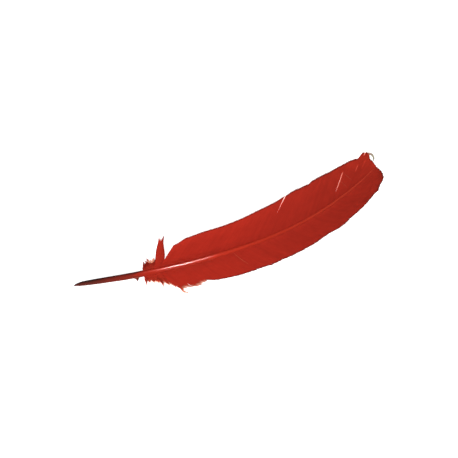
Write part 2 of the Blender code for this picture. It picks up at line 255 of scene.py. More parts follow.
def toned(tree, colour, tone, shader):
    """Gives the finish a colour, lighter or darker by the tone."""
    tree.links.new(blended(tree, 1.0, colour, tone, "MULTIPLY"), shader.inputs["Base Color"])


def mottle(tree, vector, scale, detail=2.0, stretch=(1.0, 1.0, 1.0)):
    """Random mottling from 0 to 1 over a vector reading."""
    stretched = tree.nodes.new("ShaderNodeMapping")
    stretched.inputs["Scale"].default_value = stretch
    node = tree.nodes.new("ShaderNodeTexNoise")
    node.inputs["Scale"].default_value = scale
    node.inputs["Detail"].default_value = detail
    tree.links.new(vector, stretched.inputs["Vector"])
    tree.links.new(stretched.outputs["Vector"], node.inputs["Vector"])
    return node.outputs["Fac"]


def raised(tree, shader, height, depth):
    """Fine relief on the finish, so many metres deep."""
    node = tree.nodes.new("ShaderNodeBump")
    node.inputs["Strength"].default_value = 1.0
    node.inputs["Distance"].default_value = depth
    tree.links.new(height, node.inputs["Height"])
    tree.links.new(node.outputs["Normal"], shader.inputs["Normal"])


# The quill's dark dye from its outer to its inner side, on its upper part and at its lower end, paler
# on the outer side as painted light and reflection, and blackest on the inner as painted shade
UPPER_QUILL_LIT_TO_SHADED_DYE = (
    (0.0, 0.24, 0.065, 0.046),
    (0.14, 0.160, 0.0170, 0.0105),
    (0.60, 0.145, 0.0115, 0.0065),
    (0.82, 0.100, 0.0090, 0.0060),
    (1.0, 0.045, 0.0060, 0.0050),
)
LOWER_QUILL_LIT_TO_SHADED_DYE = (
    (0.0, 0.19, 0.065, 0.050),
    (0.14, 0.090, 0.0200, 0.0150),
    (0.50, 0.072, 0.0115, 0.0080),
    (0.72, 0.032, 0.0080, 0.0060),
    (1.0, 0.014, 0.0050, 0.0040),
)
RACHIS_DYE = (  # along the shaft, as a share of its length
    (0.18, 0.240, 0.0150, 0.0080),
    (0.30, 0.290, 0.0170, 0.0085),
    (0.45, 0.325, 0.0195, 0.0092),
    (0.60, 0.305, 0.0188, 0.0086),
    (0.80, 0.290, 0.0215, 0.0100),
    (1.0, 0.285, 0.0235, 0.0116),
)
RIDGE_HIGHLIGHT_RED = (0.62, 0.038, 0.020)  # a painted highlight on the ridge, where the glint falls
# Along the shaft: where the lower end's dye turns to the upper part's, and where the rachis's begins, in
# a ragged point
LOWER_QUILL_TO, QUILL_TO = (14.0, 50.0), (55.0, 59.0)
POINTED_BY, RAGGED_BY = 9.0, 4.0
# Where the ridge has a painted highlight, and the horn is smooth and polished: over what that comes, over
# what it goes, and how strong it is
LIT_RIDGE_ACROSS = ((-0.3, 0.2), (0.3, 1.0), 0.38)
LIT_RIDGE_ALONG = ((62.0, 80.0), (118.0, 142.0))
SMOOTHED = ((60.0, 68.0), (116.0, 146.0), 0.33)
POLISHED = ((72.0, 99.0), (92.0, 136.0))


def horn_dye_and_light():
    """Glossy horn: the dye is near black on the quill, and clear orange-red on the rachis. Painted light
    and shade run across both, with a painted highlight on the ridge.
    """
    finish, tree, shader = new_finish("horn_dye_and_light", 0.3, 0.5)
    along, aside = reading(tree, "along"), reading(tree, "aside")
    streaks = mottle(tree, reading(tree, "fibre", "Vector"), 1.0, 3.0, (0.12, 1.6, 1.6))
    # from the quill's outer side, with painted light, to its inner side, with painted shade
    across = worked(tree, "MULTIPLY_ADD", aside, 0.5, 0.5)
    upper, lower = dye_steps(tree, across, UPPER_QUILL_LIT_TO_SHADED_DYE), dye_steps(tree, across, LOWER_QUILL_LIT_TO_SHADED_DYE)
    quill = blended(tree, eased(tree, along, *LOWER_QUILL_TO), lower, upper)
    rachis = dye_steps(tree, worked(tree, "DIVIDE", along, SHAFT_LENGTH), RACHIS_DYE)
    pointed = product(tree, worked(tree, "ABSOLUTE", aside), -POINTED_BY)
    reach = worked(tree, "ADD", worked(tree, "ADD", along, pointed), product(tree, streaks, RAGGED_BY))
    horn = blended(tree, eased(tree, reach, *QUILL_TO), quill, rachis)
    # a painted highlight on the ridge where the glint falls
    painted_ridge_highlight = product(tree, humped(tree, aside, *LIT_RIDGE_ACROSS), humped(tree, along, *LIT_RIDGE_ALONG))
    horn = blended(tree, painted_ridge_highlight, horn, RIDGE_HIGHLIGHT_RED)
    # painted light on the shaft's inner side, painted shade on its outer side
    sides = eased(tree, aside, -1.0, 1.0, 0.94, 1.07)
    toned(tree, horn, product(tree, eased(tree, streaks, 0.2, 0.8, 0.88, 1.1), sides), shader)
    scratched = eased(tree, streaks, 0.2, 0.8, 0.5, 0.6)
    rough = worked(tree, "SUBTRACT", scratched, humped(tree, along, *SMOOTHED))
    tree.links.new(rough, shader.inputs["Roughness"])
    shine = worked(tree, "MULTIPLY_ADD", humped(tree, along, *POLISHED), 0.97, 0.03)
    tree.links.new(shine, shader.inputs["Specular IOR Level"])
    raised(tree, shader, streaks, 0.00004)
    return finish


RING_CORNERS = 40
FINE_TO, FINE_STEP, RING_STEP = 16.0, 0.4, 1.0  # the rings lie closer together up to the first of these
RACHIS_START = 68.0
SQUARING_LENGTH = 12.0  # the section turns from round to square over this
ROUND, SQUARED = 2.0, 2.8  # powers of the section's superellipse
GROOVE, GROOVE_SPREAD = 0.14, 0.35  # under the rachis
GIRTH, SQUARED_LESS = 1.13, 0.09  # the skin as a share of SHAFT_SIZES, and how much less where squared
CUT_RIM, CUT_RIM_LENGTH = 0.3, 2.0  # how much more at the cut point
GROWTH_RINGS, GROWTH_SPACING = 0.012, 5.0
COLLAR, COLLAR_LENGTH, COLLAR_MIDDLE = 0.1, 5.0, 62.0  # and before the down
FLARE, FLARE_LENGTH, FLARE_START = 0.5, 80.0, 215.0  # and where the last barbs leave it side by side
# Where the cut shows the hollow: along the shaft, reach along it, depth, and reach across it
SCOOP = (7.0, 2.2, 1.1, 0.5)
NAVEL = (66.5, 1.6, 0.5, 0.3)  # the pit under the quill's upper end
QUILL_ASIDE = -0.1  # the round quill's middle, beside the shaft's

fine_stations = np.arange(0.0, FINE_TO, FINE_STEP)
stations = np.concatenate((fine_stations, np.arange(FINE_TO, SHAFT_LENGTH + 0.5, RING_STEP)))[:, None]
turn = np.arange(RING_CORNERS)[None] * 2 * math.pi / RING_CORNERS
squareness = np.clip((stations - RACHIS_START) / SQUARING_LENGTH + 1, 0.0, 1.0)
power = 2 / (ROUND + (SQUARED - ROUND) * squareness)
across = np.sign(np.cos(turn)) * np.abs(np.cos(turn)) ** np.where(np.sin(turn) > 0, 1.0, power)
up = np.sign(np.sin(turn)) * np.abs(np.sin(turn)) ** power
groove = np.where(up < 0, 2 * GROOVE * squareness * bell(across, GROOVE_SPREAD), 0.0)
girth = GIRTH - SQUARED_LESS * squareness + CUT_RIM * bell(stations, CUT_RIM_LENGTH)
girth += GROWTH_RINGS * unevenness(stations, GROWTH_SPACING, 11)
girth += COLLAR * bell(stations - COLLAR_MIDDLE, COLLAR_LENGTH)
girth += FLARE * np.clip((stations - FLARE_START) / FLARE_LENGTH, 0.0, 1.0)


def hollow(place, length, depth, width):
    """Depth of a small hollow in the horn, all over the shaft."""
    return depth * bell(stations - place, length) * bell(across, width)


height = shaft_height(stations) + (up + groove) * girth * shaft_depth(stations) / 2
height -= np.where(up > 0, hollow(*SCOOP), 0.0)
height += np.where(up < 0, hollow(*NAVEL), 0.0)
middle = shaft_aside(stations) + QUILL_ASIDE * (1 - squareness)
aside = middle + across * girth * shaft_width(stations) / 2
rings = on_feather(stations, aside, np.maximum(height, 0.0))
grain = np.stack(np.broadcast_arrays(stations, across * 2, up * 2), -1)
shaft = skin_rings(
    "quill_and_rachis",
    [(rings[None], {"along": stations[None], "aside": across[None], "fibre": grain[None]})],
    horn_dye_and_light(),
)
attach(shaft, "root")
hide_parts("shaft")

# Inner vane
# The broad web: several hundred barbs of keratin that leave the shaft side by side, each a thin keeled
# rib with a fringe of hooked barbules that hold it to the next. It is dished beside the shaft, droops to
# its edge, and has split in two places and at its tip, where the hooks let go.
BARB_GAP = 0.36  # between barbs, measured across them
ROOT_LEVEL = 0.2  # height of the roots above the shaft's middle line, as a share of its depth
ROOT_OUT = 0.3  # a barb's course begins so far out from the shaft's side
ROOT_DEPTH = 0.25  # how deep the barbs are rooted in the horn
DISHING, DISHING_REACH = 0.14, 3.0  # the web rises beside the shaft by this share of its depth, over this
DROOP_POWER = 1.7
LEAST_HEIGHT = 0.3
BARB_STEP = 0.5
BARB_LONGEST = 70.0
FAN_START, FAN_POWER, FAN_EASE = 180.0, 2.2, 0.6
LEAST_ROOT_DEG, LEAST_BARB_DEG = 13.0, 1.0  # the barbs never lie closer to the shaft than this
LOCKS, LOCK_NOTCH = 44, 0.4  # a vane's barbs hold together in so many locks, with notches between
LEDGE_LENGTH = 4.0  # beyond a ledge in the edge, the barbs reach out again over this
BARB_ROWS = np.linspace(0.0, 1.0, 25) ** 0.9  # a barb's rings, as shares of its length
FRAY, FRAY_POWER = 0.45, 0.6  # over this length the web narrows to the barb's bare point
RIB, RIB_TAPER = 0.065, 0.6  # half the rib's width where it is rooted, and how much of it goes
CROWN = 0.045  # how far it stands above its middle line
KEEL, KEEL_TAPER = 0.2, 0.75  # and its depth
LAP, LAP_DEPTH = 0.98, 0.015  # how far the web reaches to the barb before, in half gaps, and its drop
TUCK, TUCK_DEPTH = 1.2, 0.05  # and how far under the next barb
BARB_CLEAR = 0.04  # of the surface
BARB_APART = 7.3  # the finish's pattern starts anew so far off for each barb
SWAY = ((0.16, 9.0), (0.07, 2.4))  # how unevenly the barbs lie: height, wavelength
UPTAKE = ((0.035, 3.1), (0.03, 1.2))  # how unevenly they took the dye: share, wavelength
BARB_SWAY, BARB_UPTAKE, BARB_REACH = 0.02, 0.02, 0.1  # and from barb to barb, with how long they are
TIP_CLOSING, CLOSING_REACH = 0.8, 1.5  # beyond the shaft's tip the two vanes close up by this much each
BOWED_OVER = 5.0  # the first barbs' bow dies out over this length of the shaft
SPLIT_REACH, GLOW_REACH = 5.0, 0.7  # a split pushes the barbs aside, and pales them, over this

INNER_ROOTS = (79.6, 294.6)
INNER_BARB_DEG, INNER_BEND_DEG = 45.0, 0.26
INNER_WIDTH = 28.0
INNER_EDGE = np.array((
    (88.0, 16.5), (97.6, 19.2), (101.0, 19.9), (104.5, 21.5), (107.6, 22.7), (124.0, 24.5),
    (142.0, 24.7), (160.0, 25.6), (180.0, 27.4), (200.0, 28.4), (208.0, 29.3), (212.0, 29.4),
    (218.5, 30.1), (223.0, 30.1), (227.0, 29.6), (234.2, 29.0), (236.2, 28.5), (240.0, 29.3),
    (245.0, 29.1), (250.0, 28.7), (260.0, 27.3), (273.0, 25.2), (284.2, 22.8), (286.4, 21.7),
    (288.2, 21.3), (291.9, 19.0), (299.3, 19.9), (302.7, 15.2), (298.9, 10.8), (299.2, 8.5),
    (298.5, 5.5), (297.6, 2.0),
))
INNER_EDGE_HEIGHTS = ((64, 4.0), (100, 6.2), (180, 7.4), (230, 5.4), (270, 0.6), (288, -4.5))
# Splits: the root that they run from, how far the barbs stand apart along each (share, gap), and how
# much paler the barbs beside it look, with light between their hooks
INNER_SPLITS = (
    (179.7, ((0.48, 0.0), (0.62, 0.12), (0.72, 0.24), (0.82, 0.4), (0.95, 0.7), (1.0, 0.8)), 1.7),
    (247.1, ((0.16, 0.0), (0.3, 0.1), (0.5, 0.26), (0.66, 0.2), (0.78, 0.0)), 1.35),
    (264.4, ((0.46, 0.0), (0.54, 0.05), (0.6, 0.05), (0.68, 0.0)), 0.7),
    (271.8, ((0.5, 0.0), (0.6, 0.05), (0.72, 0.05), (0.8, 0.0)), 0.42),
    (267.0, ((0.87, 0.0), (0.94, 0.42), (1.0, 0.8)), 1.7),
)
INNER_LEDGES = ((193.5, 0.5), (204.4, 0.8), (226.6, 0.7))  # a ledge's root, and its depth
INNER_REACH = 1.2  # the barbs' fine ends stand out so far
INNER_FIRST_BOW = 2.2  # how far back towards the quill the first barbs bow
INNER_DYE_SHADED_TIPWARD = (  # along the shaft, as a share of its length; darker towards the tip as painted shade
    (0.25, 0.281, 0.0149, 0.0080),
    (0.50, 0.289, 0.0155, 0.0082),
    (0.68, 0.262, 0.0149, 0.0081),
    (0.85, 0.239, 0.0142, 0.0076),
    (1.0, 0.230, 0.0140, 0.0072),
)


def root_aside(along, side):
    return shaft_aside(along) + side * (shaft_width(along) / 2 + ROOT_OUT)


def root_height(along):
    return shaft_height(along) + ROOT_LEVEL * shaft_depth(along)


def web_height(along, aside, side, width, edge_heights):
    """Height of a vane's web: dished beside the shaft, then drooping to the edge."""
    root = root_aside(along, side)
    out = np.maximum(side * (aside - root), 0.0)
    share = np.minimum(out / (width - side * root), 1.0) ** DROOP_POWER
    dished = root_height(along) + DISHING * shaft_depth(along) * (1 - np.exp(-out / DISHING_REACH))
    edge = np.interp(along, *zip(*edge_heights))
    return np.maximum(dished + (edge - dished) * share, LEAST_HEIGHT)


def barb_lean(root, lean_deg):
    """A barb's angle to the shaft at its root. From FAN_START on, the barbs close up to the tip."""
    fan = max((root - FAN_START) / (SHAFT_LENGTH - FAN_START), 0.0)
    return lean_deg * (1 - fan**FAN_POWER) ** FAN_EASE


def barb_roots(first, last, lean_deg):
    """Roots from first to last, so spaced that the barbs lie about one gap apart."""
    roots = [first]
    while roots[-1] < last:
        lean = math.radians(max(barb_lean(min(roots[-1], last), lean_deg), LEAST_ROOT_DEG))
        roots.append(roots[-1] + BARB_GAP / math.sin(lean))
    return first + (np.array(roots) - first) * (last - first) / (roots[-1] - first)


def barb_course(root, side, lean_deg, bend_deg):
    """(along, aside) of a barb in even steps, running on past the edge."""
    angles_deg = barb_lean(root, lean_deg) - bend_deg * np.arange(0.0, BARB_LONGEST, BARB_STEP)
    angles = np.radians(np.maximum(angles_deg, LEAST_BARB_DEG))
    along = root + np.concatenate(([0.0], np.cumsum(np.cos(angles)) * BARB_STEP))
    out = np.concatenate(([0.0], np.cumsum(np.sin(angles)) * BARB_STEP))
    return np.column_stack((along, root_aside(root, side) + side * out))


def steps_to_edge(course, edge):
    """How many steps of a course lie before it meets the edge."""
    starts, spans = edge[:-1], np.diff(edge, axis=0)
    steps = np.diff(course, axis=0)
    gap = starts[None] - course[:-1, None]
    cross = steps[:, None, 0] * spans[None, :, 1] - steps[:, None, 1] * spans[None, :, 0]
    cross = np.where(cross == 0, np.inf, cross)
    on_step = (gap[..., 0] * spans[None, :, 1] - gap[..., 1] * spans[None, :, 0]) / cross
    on_edge = (gap[..., 0] * steps[:, None, 1] - gap[..., 1] * steps[:, None, 0]) / cross
    met = (on_step >= 0) & (on_step < 1) & (on_edge >= 0) & (on_edge <= 1)
    where = np.where(met, np.arange(len(steps))[:, None] + on_step, np.inf).min()
    return where if np.isfinite(where) else float(len(steps))


def unit(vectors, least=0.0):
    """The same directions, each of length 1, except for those shorter than least."""
    return vectors / np.maximum(np.linalg.norm(vectors, axis=-1, keepdims=True), least)


def keeled_barbs(spots, shade, parted=(), fray=FRAY, rib=RIB, keel=KEEL):
    """A bundle of barbs side by side, from spots of the shape barbs, rings, (along, aside, height).
    Each has a rib with a keel below it, and a web that tucks under the next barb."""
    middle = on_feather(spots[..., 0], spots[..., 1], spots[..., 2])
    between = np.diff(middle, axis=0) / 2
    before = -np.concatenate((between[:1], between))
    after = np.concatenate((between, between[-1:]))
    for last in parted:
        after[last] = after[last - 1]
        before[last + 1] = before[last + 2]
    lengths = np.linalg.norm(np.diff(middle, axis=1), axis=2) / MM
    run = np.concatenate((np.zeros((len(middle), 1)), np.cumsum(lengths, axis=1)), axis=1)
    share = run / run[:, -1:]
    full = (np.clip((run[:, -1:] - run) / fray, 0.0, 1.0) ** FRAY_POWER)[..., None]
    across = unit(after - before, 1e-9)
    half = (rib * (1 - RIB_TAPER * share) * MM)[..., None]
    lift = np.array((0.0, 0.0, MM))
    crown = (CROWN * (1 - RIB_TAPER * share))[..., None] * lift
    depth = (keel * (1 - KEEL_TAPER * share))[..., None] * lift
    corners = (
        middle + before * full * LAP - LAP_DEPTH * lift,
        middle - across * half + crown,
        middle + across * half + crown,
        middle + after * full * TUCK - TUCK_DEPTH * lift,
        middle + across * half * 0.6 - depth,
        middle - across * half * 0.6 - depth,
    )
    rings = np.stack(corners, 2)
    rings[..., 2] = np.maximum(rings[..., 2], BARB_CLEAR * MM)
    aside = (np.linalg.norm(after, axis=2) / MM)[..., None] * np.array((-1.0, -0.2, 0.2, 1.0, 0.2, -0.2))
    barb = np.arange(len(middle))[:, None, None] * BARB_APART
    fibre = np.stack(np.broadcast_arrays(run[..., None], aside, barb), -1)
    along, outward = spots[..., 0][..., None], share[..., None]
    return rings, {"along": along, "outward": outward, "fibre": fibre, "shade": shade[..., None]}


def rooted(parts=12):
    """How far aside each ring of a barb moves, so that the first of its parts lies in the horn."""
    return np.maximum(1 - BARB_ROWS * parts, 0.0) * (ROOT_OUT + ROOT_DEPTH)


def uneven_by(waves, roots, seed, start=0.0):
    """start, with some unevenness of each height and wavelength."""
    return sum((high * unevenness(roots, long, seed + i) for i, (high, long) in enumerate(waves)), start)


def lay_vane(
    side, ends, lean_deg, bend_deg, width, edge, edge_heights, splits, ledges, reach, first_bow, seed
):
    """Spots of a vane's barbs, their shades, and the barbs after which the web has parted."""
    chance = np.random.default_rng(seed)
    roots = barb_roots(*ends, lean_deg)
    spots = np.zeros((len(roots), len(BARB_ROWS), 3))
    for i, root in enumerate(roots):
        course = barb_course(root, side, lean_deg, bend_deg)
        lock = (root - ends[0]) / (ends[1] - ends[0]) * LOCKS % 1.0
        setback = LOCK_NOTCH * abs(2 * lock - 1) ** 3 - reach + chance.uniform(-BARB_REACH, BARB_REACH)
        passed = [ledge for ledge in ledges if root > ledge[0]]
        setback += sum(deep * math.exp((start - root) / LEDGE_LENGTH) for start, deep in passed)
        steps = BARB_ROWS * (steps_to_edge(course, edge) - setback / BARB_STEP)
        count = np.arange(len(course))
        for axis in (0, 1):
            spots[i, :, axis] = np.interp(steps, count, course[:, axis])
    beyond = np.clip((spots[..., 0] - SHAFT_LENGTH) / 2 + 0.5, 0.0, 1.0)
    out = side * (spots[..., 1] - shaft_aside(spots[..., 0]))
    spots[..., 1] -= side * (rooted() + TIP_CLOSING * beyond * np.exp(-out / CLOSING_REACH))
    spots[..., 0] -= first_bow * np.exp((ends[0] - roots) / BOWED_OVER)[:, None] * BARB_ROWS**1.5
    spots[..., 2] = web_height(spots[..., 0], spots[..., 1], side, width, edge_heights)
    sway = uneven_by(SWAY, roots, seed + 1) + chance.uniform(-BARB_SWAY, BARB_SWAY, len(roots))
    spots[..., 2] += sway[:, None] * BARB_ROWS**1.5
    spots[..., 2] = np.maximum(spots[..., 2], LEAST_HEIGHT)
    shade = uneven_by(UPTAKE, roots, seed + 3, 1.0) + chance.normal(0.0, BARB_UPTAKE, len(roots))
    shade = shade[:, None]
    parted = []
    for split_root, gaps, glow in splits:
        away = roots - split_root
        parted.append(int(np.searchsorted(roots, split_root)) - 1)
        push = np.where(away > 0, 0.5, -0.5) * np.exp(-np.abs(away) / SPLIT_REACH)
        gap = np.interp(BARB_ROWS, *zip(*gaps))
        spots[..., 0] += push[:, None] * gap
        shade = shade + glow * bell(away, GLOW_REACH)[:, None] * np.minimum(gap / gap.max() * 1.5, 1.0)
    return spots, shade, parted


# How far out along the barbs the painted shade and light by the shaft, the painted light of the outer
# half, the darker edge and the painted shade at the tip change, from 0 at the shaft to 1 at the edge
SHAFT_SHADE_OVER, OUTER_LIGHT_OVER, EDGE_OVER, TIP_SHADE_OVER = (0.0, 0.3), (0.4, 0.85), (0.91, 0.975), (0.65, 0.93)
SHAFT_SHADE_ALONG, TIP_SHADE_ALONG = (120.0, 200.0), (255.0, 290.0)  # and where they do along the shaft
BARBULE_SLANT, BARBULES = 1.3, 52.0  # the barbules' slope to the barb, and how close they lie
WHOLE, LIGHT_THROUGH, UNDYED_POINT = (1.0, 1.0, 1.0), (0.72, 0.21, 0.14), (0.70, 0.27, 0.19)


def dyed_and_shaded_web(name, steps, painted_by_shaft, rise, edge, tip=1.0, pale=(0.98, 0.7)):
    """Matt dyed keratin, with painted light and shade. steps colour it along the feather. The next three
    are how much of the colour is left beside the shaft (near the quill and further on, painted shade
    below
    1 and painted light above it), in the outer half (painted light) and at the free edge (the barbs'
    dense tips, and painted shade). tip is how much is left of it at the edge of the feather's tip, as
    painted shade.
    pale is from where and how far the barbs' points stay undyed. Where the shade is well above 1, painted
    light comes through the web."""
    finish, tree, shader = new_finish(name, 0.7, 0.04)
    along, outward = reading(tree, "along"), reading(tree, "outward")
    shade, fibre = reading(tree, "shade"), reading(tree, "fibre", "Vector")
    dye = dye_steps(tree, worked(tree, "DIVIDE", along, SHAFT_LENGTH), steps)
    # painted shade beside the shaft, less of it further along; above 1 it is painted light
    hollow = eased(tree, along, *SHAFT_SHADE_ALONG, *painted_by_shaft)
    # painted shade over the web at the feather's tip
    shade_at_tip = eased(tree, along, *TIP_SHADE_ALONG, 1.0, tip)
    patches = mottle(tree, fibre, 0.35, 2.0, (0.5, 1.0, 0.06))
    split = tree.nodes.new("ShaderNodeSeparateXYZ")
    tree.links.new(fibre, split.inputs[0])
    slant = product(tree, worked(tree, "ABSOLUTE", split.outputs["Y"]), -BARBULE_SLANT)
    rows = product(tree, worked(tree, "ADD", split.outputs["X"], slant), BARBULES)
    barbules = worked(tree, "SINE", rows)
    # uneven uptake, painted light at the splits and in the outer half, painted shade and light by the
    # shaft, the edge's dense tips with painted shade, and painted shade at the tip
    tone = product(
        tree,
        shade,
        blended(tree, eased(tree, outward, *SHAFT_SHADE_OVER), hollow, WHOLE),
        eased(tree, outward, *OUTER_LIGHT_OVER, 1.0, rise),
        eased(tree, outward, *EDGE_OVER, 1.0, edge),
        blended(tree, eased(tree, outward, *TIP_SHADE_OVER), WHOLE, shade_at_tip),
        eased(tree, patches, 0.25, 0.75, 0.95, 1.05),
        eased(tree, barbules, -1.0, 1.0, 0.95, 1.04),
    )
    dyed = blended(tree, 1.0, dye, tone, "MULTIPLY")
    # painted light through the web beside the splits, where the shade is well above 1
    dyed = blended(tree, eased(tree, shade, 1.2, 2.8), dyed, LIGHT_THROUGH)
    points = eased(tree, outward, pale[0], 1.0, 0.0, pale[1])
    tree.links.new(blended(tree, points, dyed, UNDYED_POINT), shader.inputs["Base Color"])
    raised(tree, shader, barbules, 0.000012)
    return finish


inner_spots, inner_shade, inner_parted = lay_vane(
    1, INNER_ROOTS, INNER_BARB_DEG, INNER_BEND_DEG, INNER_WIDTH, INNER_EDGE, INNER_EDGE_HEIGHTS,
    INNER_SPLITS, INNER_LEDGES, INNER_REACH, INNER_FIRST_BOW, seed=20,
)
inner_dye_and_shade = dyed_and_shaded_web("inner_vane_dye_and_shade", INNER_DYE_SHADED_TIPWARD, painted_by_shaft=(0.75, 0.88), rise=1.13, edge=0.4)
inner_barbs = keeled_barbs(inner_spots, inner_shade, inner_parted)
inner_vane = skin_rings("inner_vane_barbs", [inner_barbs], inner_dye_and_shade)
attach(inner_vane, "root")
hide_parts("inner_vane")

# Outer vane
# The narrow web on the other side, with barbs that stand steeper and bend more. It droops to the
# surface, and near the quill its barbs have few hooks, so their ends fray.
OUTER_ROOTS = (79.2, 294.6)
OUTER_BARB_DEG, OUTER_BEND_DEG = 56.0, 0.6
OUTER_WIDTH = 21.0
OUTER_EDGE = np.array((
    (88.0, -20.0), (96.0, -19.6), (98.5, -18.8), (101.0, -19.2), (107.2, -20.7), (113.0, -18.4),
    (118.0, -17.9), (124.0, -19.9), (130.0, -20.5), (145.0, -21.7), (171.0, -21.8), (175.0, -22.6),
    (182.0, -21.8), (200.0, -21.5), (215.0, -20.7), (230.0, -18.9), (240.0, -19.6), (245.5, -19.5),
    (252.5, -17.7), (260.0, -17.3), (270.0, -16.1), (280.8, -14.2), (285.2, -14.4), (287.2, -12.7),
    (290.2, -11.6), (293.4, -10.7), (295.7, -9.6), (296.8, -8.2), (297.8, -6.6), (298.5, -4.0),
    (298.0, 2.5),
))
OUTER_EDGE_HEIGHTS = ((64, 0.0), (90, 0.8), (120, 2.6), (180, 4.6), (240, 2.6), (270, -0.8), (288, -5.0))
# The gap beside the frayed first barbs, and faint partings at three locks' ends
OUTER_SPLITS = (
    (88.1, ((0.8, 0.0), (0.86, 0.5), (0.93, 0.7), (1.0, 0.5)), 0.5),
    (151.6, ((0.6, 0.0), (0.75, 0.01), (0.9, 0.0)), 0.16),
    (162.0, ((0.6, 0.0), (0.75, 0.01), (0.86, 0.0)), 0.14),
    (174.8, ((0.5, 0.0), (0.7, 0.01), (0.9, 0.0)), 0.18),
)
OUTER_LEDGES = (
    (143.0, 0.5), (155.2, 0.8), (165.0, 0.7), (178.1, 0.7), (187.1, 0.6), (203.0, 0.5), (222.0, 0.6),
)
OUTER_REACH, OUTER_FIRST_BOW = 0.95, 1.4
# along the shaft, as a share of its length; darker towards the tip as painted shade
OUTER_DYE_SHADED_TIPWARD = (
    (0.25, 0.266, 0.0145, 0.0077),
    (0.50, 0.260, 0.0146, 0.0078),
    (0.68, 0.237, 0.0138, 0.0075),
    (0.85, 0.224, 0.0134, 0.0073),
    (1.0, 0.217, 0.0137, 0.0072),
)

outer_spots, outer_shade, outer_parted = lay_vane(
    -1, OUTER_ROOTS, OUTER_BARB_DEG, OUTER_BEND_DEG, OUTER_WIDTH, OUTER_EDGE, OUTER_EDGE_HEIGHTS,
    OUTER_SPLITS, OUTER_LEDGES, OUTER_REACH, OUTER_FIRST_BOW, seed=40,
)
outer_dye_and_shade = dyed_and_shaded_web("outer_vane_dye_and_shade", OUTER_DYE_SHADED_TIPWARD, painted_by_shaft=(0.95, 1.1), rise=1.0, edge=0.36, tip=0.85)
outer_barbs = keeled_barbs(outer_spots, outer_shade, outer_parted)
outer_vane = skin_rings("outer_vane_barbs", [outer_barbs], outer_dye_and_shade)
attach(outer_vane, "root")
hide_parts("outer_vane")

# Loose lock
# A group of barbs at the base of the broad vane that has come unhooked from it. It stands up in two
# points, with its barbs still hooked to each other except at the notch between the points.
LOCK_BARBS = 22
LOCK_TIP_HEIGHT = 9.5
GATHERING = 1.9  # how closely its barbs gather to the two points
LOCK_LINES = np.array((  # its left side, the line to its notch and its right side: along, aside
    ((73.3, 2.8), (76.0, 7.5), (77.2, 11.1), (78.4, 15.6), (80.0, 20.0), (82.3, 24.6), (84.6, 31.0)),
    ((76.3, 2.8), (80.6, 7.5), (82.0, 11.1), (82.8, 15.6), (83.8, 20.0), (85.2, 25.0), (86.1, 27.5)),
    ((79.4, 2.8), (83.9, 7.5), (85.7, 11.1), (86.4, 15.6), (86.8, 20.0), (87.6, 25.0), (90.5, 32.0)),
))
LOCK_FRAY, LOCK_RIB, LOCK_SWAY = 3.0, 0.15, 0.12
LOCK_SHADES = ((0.0, 0.9), (0.3, 1.06), (1.2, 1.0), (2.0, 0.82))  # from its left side, 0, to its right, 2
LOCK_DYE = ((0.25, 0.266, 0.0145, 0.0077), (0.32, 0.266, 0.0145, 0.0077))


def course_through(places, shares):
    """Places at those shares of the length of a smooth curve through the given ones."""
    places = np.asarray(places, float)
    padded = np.concatenate((2 * places[:1] - places[1:2], places, 2 * places[-1:] - places[-2:-1]))
    t = np.linspace(0.0, 1.0, 12, endpoint=False)[:, None]
    pieces = [
        0.5 * (2 * b + (c - a) * t + (2 * a - 5 * b + 4 * c - d) * t**2 + (3 * b - a - 3 * c + d) * t**3)
        for a, b, c, d in zip(padded, padded[1:], padded[2:], padded[3:])
    ]
    curve = np.concatenate([*pieces, places[-1:]])
    run = np.concatenate(([0.0], np.cumsum(np.linalg.norm(np.diff(curve, axis=0), axis=1))))
    return np.column_stack([np.interp(shares * run[-1], run, values) for values in curve.T])


lock_share = np.linspace(0.0, 2.0, LOCK_BARBS)  # 0 at the left side, 1 at the notch, 2 at the right
lock_spots = np.zeros((LOCK_BARBS, len(BARB_ROWS), 3))
chance = np.random.default_rng(60)
for i, share in enumerate(lock_share):
    gathered = share**GATHERING if share < 1 else 2 - (2 - share) ** GATHERING
    places = (share,) * 4 + ((2 * share + gathered) / 3, (share + 2 * gathered) / 3, gathered)
    line = [
        [np.interp(place, (0, 1, 2), sides[:, axis]) for axis in (0, 1)]
        for place, sides in zip(places, LOCK_LINES.swapaxes(0, 1))
    ]
    reach = 1.0 - chance.uniform(0.0, 0.04) * (0.1 < share < 1.9)
    lock_spots[i, :, :2] = course_through(line, BARB_ROWS * reach)
lock_spots[..., 1] -= rooted()
level = web_height(lock_spots[..., 0], lock_spots[..., 1], 1, INNER_WIDTH, INNER_EDGE_HEIGHTS)
lock_spots[..., 2] = level + (LOCK_TIP_HEIGHT - level) * BARB_ROWS**2
lock_spots[..., 2] += LOCK_SWAY * unevenness(lock_share * 20, 6.0, 61)[:, None] * BARB_ROWS
lock_shade = np.interp(lock_share, *zip(*LOCK_SHADES))[:, None]
lock_dye_and_shade = dyed_and_shaded_web(
    "loose_lock_dye_and_shade", LOCK_DYE, painted_by_shaft=(0.95, 1.0), rise=1.07, edge=0.9, pale=(0.9, 0.36)
)
lock_barbs = keeled_barbs(lock_spots, lock_shade, fray=LOCK_FRAY, rib=LOCK_RIB)
loose_lock = skin_rings("loose_lock_barbs", [lock_barbs], lock_dye_and_shade)
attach(loose_lock, "root")
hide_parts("loose_lock")

